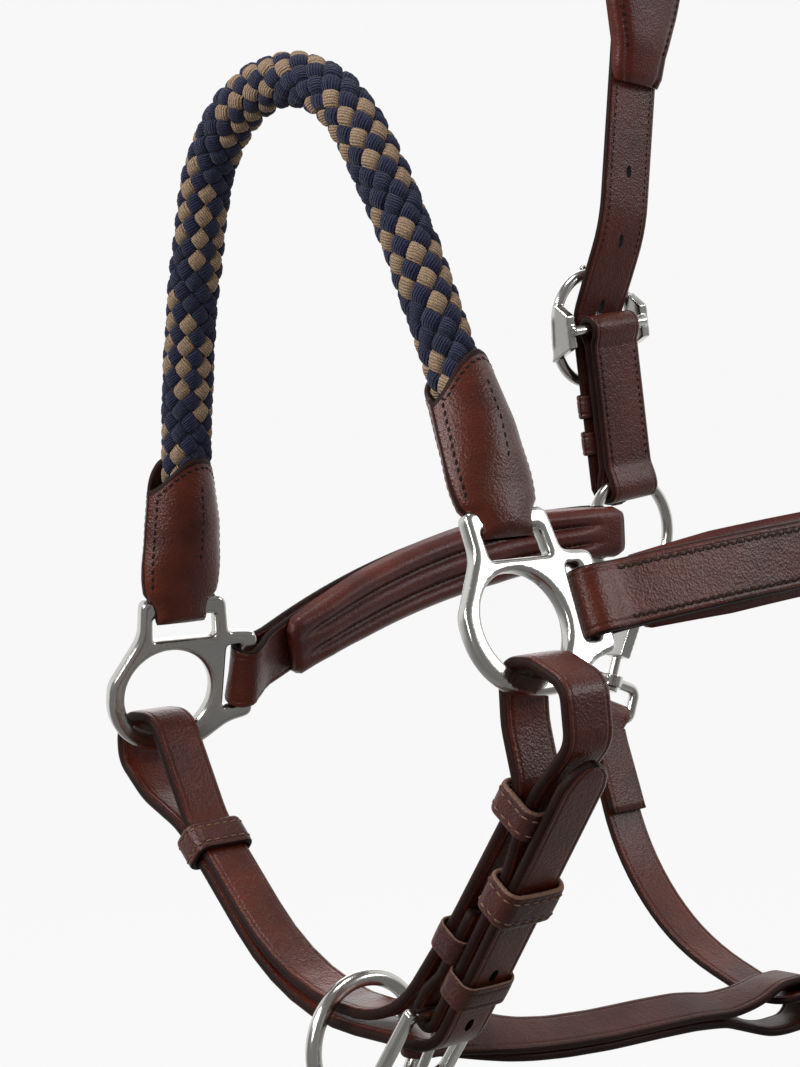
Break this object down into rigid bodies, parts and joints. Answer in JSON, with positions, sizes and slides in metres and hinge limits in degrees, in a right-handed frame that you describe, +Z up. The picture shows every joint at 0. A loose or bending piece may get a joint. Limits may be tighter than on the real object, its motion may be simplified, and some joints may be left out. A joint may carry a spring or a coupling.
{
  "type": "headcollar",
  "caption": "Leather horse headcollar with a braided rope noseband, cast nose fittings, rings, buckles, keepers and a snap hook.",
  "frame": {"origin": "middle of the poll padding's inner face, where the headcollar rests behind the horse's ears", "axes": "+X towards the horse's left (near) side, +Y rearward, +Z up"},
  "size_m": [0.2192, 0.2811, 0.4475],
  "materials": {
    "strap_leather": "satin",
    "keeper_leather": "satin",
    "padding_leather": "satin",
    "braided_rope": "matte",
    "bright_metal": "polished"
  },
  "bodies": {
    "headcollar": {"chin_buckle": "bright_metal", "chin_strap": "strap_leather", "crown_padding": "padding_leather", "crown_strap": "strap_leather", "far_cheek_padding": "padding_leather", "far_cheek_strap": "strap_leather", "far_crown_buckle": "bright_metal", "far_crown_chape": "strap_leather", "far_crown_lower_keeper": "keeper_leather", "far_crown_upper_keeper": "keeper_leather", "far_nose_fitting": "bright_metal", "far_rope_chape": "strap_leather", "inner_fixed_keeper": "keeper_leather", "jaw_strap": "strap_leather", "near_cheek_padding": "padding_leather", "near_cheek_strap": "strap_leather", "near_crown_buckle": "bright_metal", "near_crown_chape": "strap_leather", "near_crown_lower_keeper": "keeper_leather", "near_crown_upper_keeper": "keeper_leather", "near_nose_fitting": "bright_metal", "near_rope_chape": "strap_leather", "nose_rope": "braided_rope", "outer_fixed_keeper": "keeper_leather", "snap_body": "bright_metal", "snap_eye": "bright_metal", "snap_pin": "bright_metal", "throat_strap": "strap_leather"},
    "near_side_ring": {"near_side_ring": "bright_metal"},
    "far_side_ring": {"far_side_ring": "bright_metal"},
    "lead_ring": {"lead_ring": "bright_metal"},
    "chin_tongue": {"chin_buckle_tongue": "bright_metal"},
    "near_crown_tongue": {"near_crown_tongue": "bright_metal"},
    "far_crown_tongue": {"far_crown_tongue": "bright_metal"},
    "snap_gate": {"snap_gate": "bright_metal"},
    "near_loop_keeper": {"near_loop_keeper": "keeper_leather"},
    "billet_keeper": {"billet_keeper": "keeper_leather"},
    "far_loop_keeper": {"far_loop_keeper": "keeper_leather"}
  },
  "joints": [
    {"name": "near_ring_turn", "type": "hinge", "parent": "headcollar", "child": "near_side_ring", "pos_m": [0.086, -0.02, -0.26], "axis": [1, 0, 0], "continuous": true},
    {"name": "far_ring_turn", "type": "hinge", "parent": "headcollar", "child": "far_side_ring", "pos_m": [-0.086, -0.02, -0.26], "axis": [1, 0, 0], "continuous": true},
    {"name": "lead_ring_turn", "type": "hinge", "parent": "headcollar", "child": "lead_ring", "pos_m": [0.008, -0.2355, -0.3982], "axis": [1, 0, 0], "continuous": true},
    {"name": "chin_tongue_lift", "type": "hinge", "parent": "headcollar", "child": "chin_tongue", "pos_m": [0.04643, -0.236, -0.38142], "axis": [0, -1, 0], "range_deg": [0, 4]},
    {"name": "near_crown_tongue_lift", "type": "hinge", "parent": "headcollar", "child": "near_crown_tongue", "pos_m": [0.086, -0.026, -0.182], "axis": [0, 0.9956, 0.0941], "range_deg": [0, 8]},
    {"name": "far_crown_tongue_lift", "type": "hinge", "parent": "headcollar", "child": "far_crown_tongue", "pos_m": [-0.086, -0.026, -0.182], "axis": [0, -0.9956, -0.0941], "range_deg": [0, 8]},
    {"name": "snap_gate_press", "type": "hinge", "parent": "headcollar", "child": "snap_gate", "pos_m": [-0.0902, -0.02549, -0.29503], "axis": [0, -0.9272, 0.3746], "range_deg": [0, 16], "stiffness_Nm_per_rad": 0.02, "springref_deg": -11.46},
    {"name": "near_loop_keeper_slide", "type": "slide", "parent": "headcollar", "child": "near_loop_keeper", "axis": [-0.5906, 0, -0.807], "range_m": [0, 0.003]},
    {"name": "billet_keeper_slide", "type": "slide", "parent": "headcollar", "child": "billet_keeper", "axis": [-0.5906, 0, -0.807], "range_m": [-0.002, 0.005]},
    {"name": "far_loop_keeper_slide", "type": "slide", "parent": "headcollar", "child": "far_loop_keeper", "axis": [0.7071, 0, -0.7071], "range_m": [0, 0.01]}
  ]
}
